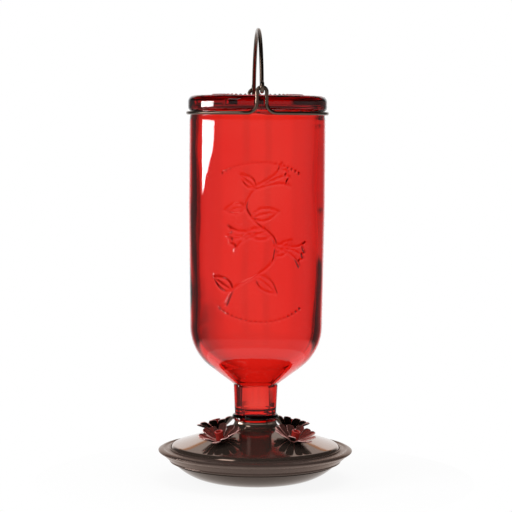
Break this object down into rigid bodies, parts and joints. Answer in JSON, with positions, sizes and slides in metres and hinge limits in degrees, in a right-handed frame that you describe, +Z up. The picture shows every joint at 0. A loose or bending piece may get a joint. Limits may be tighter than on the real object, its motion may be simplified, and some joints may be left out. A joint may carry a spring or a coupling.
{
  "type": "hummingbird feeder",
  "caption": "Hanging nectar feeder: an upturned red glass bottle with a wire bail, screwed into a round metal-topped base with flower feeding ports.",
  "frame": {"origin": "centre of the flat foot, on the surface that the feeder stands on", "axes": "+Z up along the bottle's axis; Y runs through the two loops of the wire hanger, with -Y to the front"},
  "size_m": [0.106, 0.106, 0.2462],
  "materials": {
    "red_glass": "pressed and blown, transparent red",
    "wire": "bent wire, dark bronze plating",
    "dome_cover": "spun sheet, black nickel mirror plating",
    "rim_ring": "moulded, satin bronze grey",
    "tray": "moulded, glossy bronze grey",
    "flower": "stamped and cupped sheet, dark red lacquer",
    "port_tube": "moulded, glossy red",
    "threaded_collar": "moulded, black",
    "neck_gasket": "flat rubber washer"
  },
  "bodies": {
    "tray": {"tray": "tray"},
    "cover": {"rim_ring": "rim_ring", "dome_cover": "dome_cover", "threaded_collar": "threaded_collar", "flower_1": "flower", "flower_2": "flower", "flower_3": "flower", "flower_4": "flower", "port_tube_1": "port_tube", "port_tube_2": "port_tube", "port_tube_3": "port_tube", "port_tube_4": "port_tube"},
    "gasket": {"neck_gasket": "neck_gasket"},
    "bottle": {"bottle": "red_glass", "hanger_ring": "wire"},
    "bail": {"bail": "wire"}
  },
  "joints": [
    {"name": "base_twist", "type": "hinge", "parent": "tray", "child": "cover", "pos_m": [0, 0, 0], "axis": [0, 0, 1], "range_deg": [0, 25]},
    {"name": "bottle_lift", "type": "slide", "parent": "cover", "child": "gasket", "axis": [0, 0, 1], "range_m": [0, 0.00477]},
    {"name": "bottle_unscrew", "type": "hinge", "parent": "gasket", "child": "bottle", "pos_m": [0, 0, 0], "axis": [0, 0, 1], "range_deg": [0, 540]},
    {"name": "bail_swing", "type": "hinge", "parent": "bottle", "child": "bail", "pos_m": [0, 0, 0.21127], "axis": [0, 1, 0], "range_deg": [-88, 88]}
  ],
  "couplings": [
    {"joint": "bottle_unscrew", "follows": "bottle_lift", "rad_per_m": 1975.8}
  ]
}
